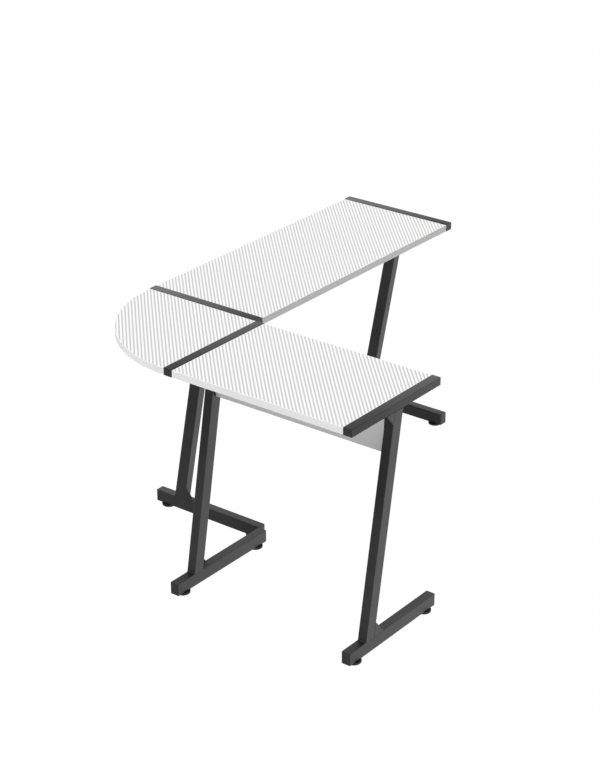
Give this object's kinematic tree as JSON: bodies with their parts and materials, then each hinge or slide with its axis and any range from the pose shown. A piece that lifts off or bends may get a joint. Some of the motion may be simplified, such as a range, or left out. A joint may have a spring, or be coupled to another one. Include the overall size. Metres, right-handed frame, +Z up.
{
  "type": "corner desk",
  "caption": "L-shaped corner desk with striped white worktops, a quarter-round corner and slanted-post Z-frames on levelling glides.",
  "frame": {"origin": "on the floor, under the middle of the plan rectangle that the desk and its glides fill", "axes": "+Z up, +X along the short wing away from the corner, +Y along the long wing away from the corner"},
  "size_m": [1.0904, 1.4686, 0.75],
  "materials": {
    "worktop_laminate": "white melamine-faced particle board with a fine grey diagonal line decor, satin",
    "panel_laminate": "plain white melamine-faced particle board, satin",
    "edge_band": "white ABS edge band, satin",
    "powder_coated_steel": "anthracite powder coat, satin",
    "cap_plastic": "anthracite moulded plastic, fine grain",
    "glide_plastic": "black moulded nylon, matt",
    "zinc_plated_steel": "bright zinc plate"
  },
  "bodies": {
    "desk": {"long_worktop": "worktop_laminate", "short_worktop": "worktop_laminate", "corner_worktop": "worktop_laminate", "long_worktop_bands": "edge_band", "short_worktop_bands": "edge_band", "corner_worktop_bands": "edge_band", "long_modesty_band": "edge_band", "short_modesty_band": "edge_band", "long_modesty_panel": "panel_laminate", "short_modesty_panel": "panel_laminate", "long_end_top_rail": "powder_coated_steel", "long_end_post": "powder_coated_steel", "long_end_foot_rail": "powder_coated_steel", "long_end_top_gusset": "powder_coated_steel", "long_end_foot_gusset": "powder_coated_steel", "long_corner_top_rail": "powder_coated_steel", "long_corner_post": "powder_coated_steel", "long_corner_foot_rail": "powder_coated_steel", "long_corner_top_gusset": "powder_coated_steel", "long_corner_foot_gusset": "powder_coated_steel", "short_corner_top_rail": "powder_coated_steel", "short_corner_post": "powder_coated_steel", "short_corner_foot_rail": "powder_coated_steel", "short_corner_top_gusset": "powder_coated_steel", "short_corner_foot_gusset": "powder_coated_steel", "short_end_top_rail": "powder_coated_steel", "short_end_post": "powder_coated_steel", "short_end_foot_rail": "powder_coated_steel", "short_end_top_gusset": "powder_coated_steel", "short_end_foot_gusset": "powder_coated_steel", "top_rail_end_caps": "cap_plastic", "foot_rail_end_caps": "cap_plastic", "worktop_tabs": "powder_coated_steel", "modesty_panel_tabs": "powder_coated_steel", "worktop_screws": "zinc_plated_steel", "modesty_panel_screws": "zinc_plated_steel", "glide_weld_nuts": "zinc_plated_steel"},
    "long_end_inner_glide": {"long_end_inner_glide_pad": "glide_plastic", "long_end_inner_glide_stud": "zinc_plated_steel"},
    "long_end_outer_glide": {"long_end_outer_glide_pad": "glide_plastic", "long_end_outer_glide_stud": "zinc_plated_steel"},
    "long_corner_inner_glide": {"long_corner_inner_glide_pad": "glide_plastic", "long_corner_inner_glide_stud": "zinc_plated_steel"},
    "long_corner_outer_glide": {"long_corner_outer_glide_pad": "glide_plastic", "long_corner_outer_glide_stud": "zinc_plated_steel"},
    "short_corner_inner_glide": {"short_corner_inner_glide_pad": "glide_plastic", "short_corner_inner_glide_stud": "zinc_plated_steel"},
    "short_corner_outer_glide": {"short_corner_outer_glide_pad": "glide_plastic", "short_corner_outer_glide_stud": "zinc_plated_steel"},
    "short_end_inner_glide": {"short_end_inner_glide_pad": "glide_plastic", "short_end_inner_glide_stud": "zinc_plated_steel"},
    "short_end_outer_glide": {"short_end_outer_glide_pad": "glide_plastic", "short_end_outer_glide_stud": "zinc_plated_steel"}
  },
  "joints": [
    {"name": "long_end_inner_glide_height", "type": "slide", "parent": "desk", "child": "long_end_inner_glide", "axis": [0, 0, -1], "range_m": [0, 0.01]},
    {"name": "long_end_outer_glide_height", "type": "slide", "parent": "desk", "child": "long_end_outer_glide", "axis": [0, 0, -1], "range_m": [0, 0.01]},
    {"name": "long_corner_inner_glide_height", "type": "slide", "parent": "desk", "child": "long_corner_inner_glide", "axis": [0, 0, -1], "range_m": [0, 0.01]},
    {"name": "long_corner_outer_glide_height", "type": "slide", "parent": "desk", "child": "long_corner_outer_glide", "axis": [0, 0, -1], "range_m": [0, 0.01]},
    {"name": "short_corner_inner_glide_height", "type": "slide", "parent": "desk", "child": "short_corner_inner_glide", "axis": [0, 0, -1], "range_m": [0, 0.01]},
    {"name": "short_corner_outer_glide_height", "type": "slide", "parent": "desk", "child": "short_corner_outer_glide", "axis": [0, 0, -1], "range_m": [0, 0.01]},
    {"name": "short_end_inner_glide_height", "type": "slide", "parent": "desk", "child": "short_end_inner_glide", "axis": [0, 0, -1], "range_m": [0, 0.01]},
    {"name": "short_end_outer_glide_height", "type": "slide", "parent": "desk", "child": "short_end_outer_glide", "axis": [0, 0, -1], "range_m": [0, 0.01]}
  ]
}
